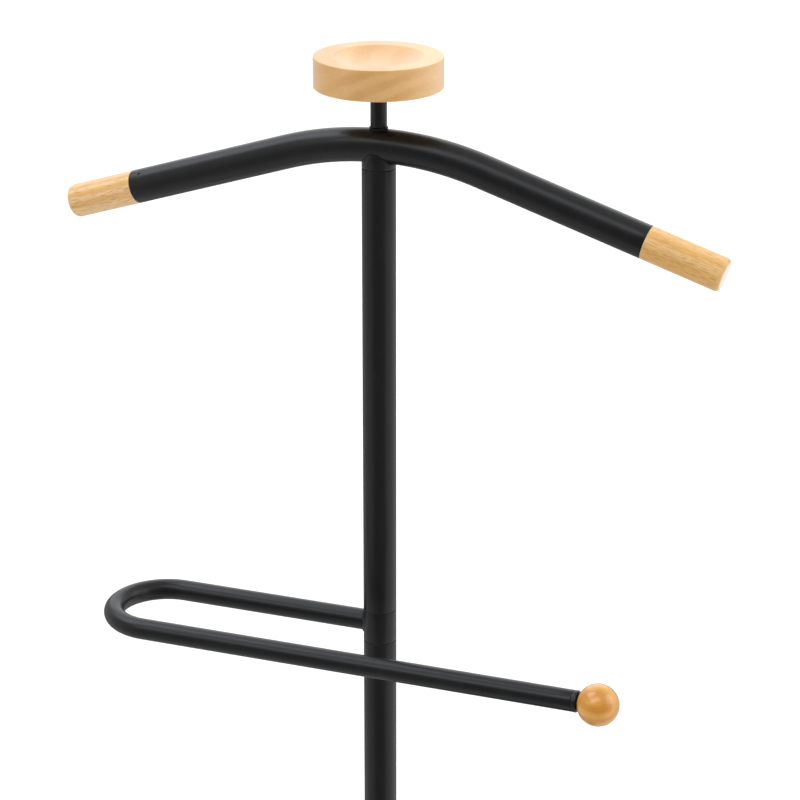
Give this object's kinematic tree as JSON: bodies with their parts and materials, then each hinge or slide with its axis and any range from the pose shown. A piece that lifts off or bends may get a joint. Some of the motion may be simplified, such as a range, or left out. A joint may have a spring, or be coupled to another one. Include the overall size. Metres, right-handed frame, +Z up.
{
  "type": "valet stand",
  "caption": "Floor valet stand: a round post with a bent shoulder bar, a small dished tray on top, and a hairpin trouser bar that ends in a ball.",
  "frame": {"origin": "on the floor, on the axis of the post", "axes": "+Z up along the post; X along the shoulder bar, +X towards the ball end of the trouser bar; -Y is the front, where the free leg of the trouser bar passes"},
  "size_m": [0.5125, 0.3, 1.086],
  "materials": {
    "black_coat": "satin black powder coat, fine orange peel",
    "pale_wood": "pale rubberwood under a thin satin lacquer",
    "honey_wood": "honey-toned turned wood under a glossy lacquer",
    "zinc_steel": "bright zinc plate",
    "brass": "turned brass",
    "nylon": "natural nylon",
    "black_plastic": "moulded satin black plastic",
    "rubber": "matt black rubber"
  },
  "bodies": {
    "stand": {"post_top_plug": "zinc_steel", "upper_post_tube": "black_coat", "upper_joint_plug": "zinc_steel", "coupling_stud": "zinc_steel", "lower_joint_plug": "zinc_steel", "lower_post_tube": "black_coat", "post_foot_plug": "zinc_steel", "base_bolt": "zinc_steel", "base_washer": "zinc_steel", "base_plate": "black_coat", "floor_pad_1": "rubber", "floor_pad_2": "rubber", "floor_pad_3": "rubber", "floor_pad_4": "rubber"},
    "trouser_arm": {"trouser_collar": "black_coat", "collar_bush": "nylon", "trouser_bar": "black_coat", "bar_end_cap": "black_plastic", "ball_stud": "zinc_steel", "trouser_ball": "honey_wood"},
    "hanger_head": {"hanger_saddle": "black_coat", "hanger_bar": "black_coat", "hanger_end_left": "pale_wood", "hanger_end_right": "pale_wood", "end_pin_left": "black_coat", "end_pin_right": "black_coat", "clamp_stud": "zinc_steel", "stem_washer": "black_plastic", "tray_stem": "black_coat", "tray_stud": "zinc_steel", "tray_insert": "brass", "tray_dish": "pale_wood"}
  },
  "joints": [
    {"name": "hanger_swivel", "type": "hinge", "parent": "stand", "child": "hanger_head", "pos_m": [0, 0, 1.0035], "axis": [0, 0, 1], "continuous": true},
    {"name": "trouser_arm_swivel", "type": "hinge", "parent": "stand", "child": "trouser_arm", "pos_m": [0, 0, 0.6435], "axis": [0, 0, 1], "continuous": true}
  ]
}
